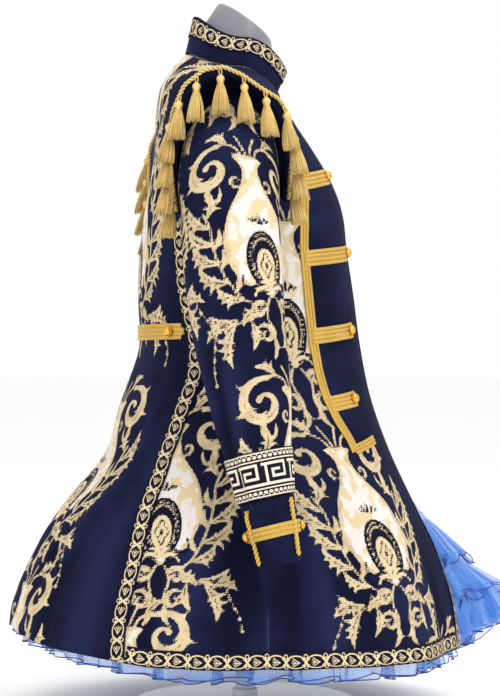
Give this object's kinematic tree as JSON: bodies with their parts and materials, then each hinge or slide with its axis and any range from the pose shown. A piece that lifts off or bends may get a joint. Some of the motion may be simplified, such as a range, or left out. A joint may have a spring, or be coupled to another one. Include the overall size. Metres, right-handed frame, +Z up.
{
  "type": "carnival jacket on a dress form",
  "caption": "Flared frock-style carnival jacket with stand collar, tasselled shoulder wings, braided bib front and tulle ruffle underskirt, on a limbless dress form with a low stand.",
  "frame": {"origin": "centre of the underside of the stand base, on the surface that the part stands on", "axes": "+Z up through the post and the neck, -Y towards the front of the jacket, -X towards its right sleeve"},
  "size_m": [0.636, 0.6599, 0.936],
  "materials": {
    "velvet_patterned": "navy velvet woven with cream and beige scrolls",
    "velvet_navy": "plain navy velvet",
    "chain_trim": "woven trim, cream chain on dark navy",
    "key_band": "woven band, pale key pattern on dark navy",
    "gold_braid": "gold metallic yarn braid",
    "gold_thread": "gold rayon thread",
    "button_metal": "polished gold-coloured domed metal",
    "blue_tulle": "sheer royal blue crystal organza",
    "form_grey": "smooth grey",
    "stand_enamel": "white enamel"
  },
  "bodies": {
    "root": {"back": "velvet_patterned", "front_right": "velvet_patterned", "front_left": "velvet_patterned", "side_panel_right": "velvet_patterned", "side_panel_left": "velvet_patterned", "sleeve_right": "velvet_patterned", "sleeve_left": "velvet_patterned", "collar": "velvet_navy", "cuff_right": "velvet_navy", "cuff_left": "velvet_navy", "shoulder_wing_right": "velvet_navy", "shoulder_wing_left": "velvet_navy", "collar_trim": "chain_trim", "front_trim_right": "chain_trim", "front_trim_left": "chain_trim", "hem_trim_right": "chain_trim", "hem_trim_left": "chain_trim", "back_seam_trim_right": "chain_trim", "back_seam_trim_left": "chain_trim", "key_band_right": "key_band", "key_band_left": "key_band", "half_belt": "gold_braid", "bib_braid_right": "gold_braid", "bib_braid_left": "gold_braid", "cuff_braid_right": "gold_braid", "cuff_braid_left": "gold_braid", "tassel_fringe_right": "gold_thread", "tassel_fringe_left": "gold_thread", "front_button_right_1": "button_metal", "front_button_right_2": "button_metal", "front_button_right_3": "button_metal", "front_button_right_4": "button_metal", "front_button_left_1": "button_metal", "front_button_left_2": "button_metal", "front_button_left_3": "button_metal", "front_button_left_4": "button_metal", "belt_button_right": "button_metal", "belt_button_left": "button_metal", "cuff_button_right_back": "button_metal", "cuff_button_right_front": "button_metal", "cuff_button_left_back": "button_metal", "cuff_button_left_front": "button_metal", "tulle_yoke": "blue_tulle", "tulle_ruffle": "blue_tulle", "tulle_under_ruffle": "blue_tulle", "dress_form": "form_grey", "stand_post": "stand_enamel", "stand_base": "stand_enamel"}
  },
  "joints": []
}
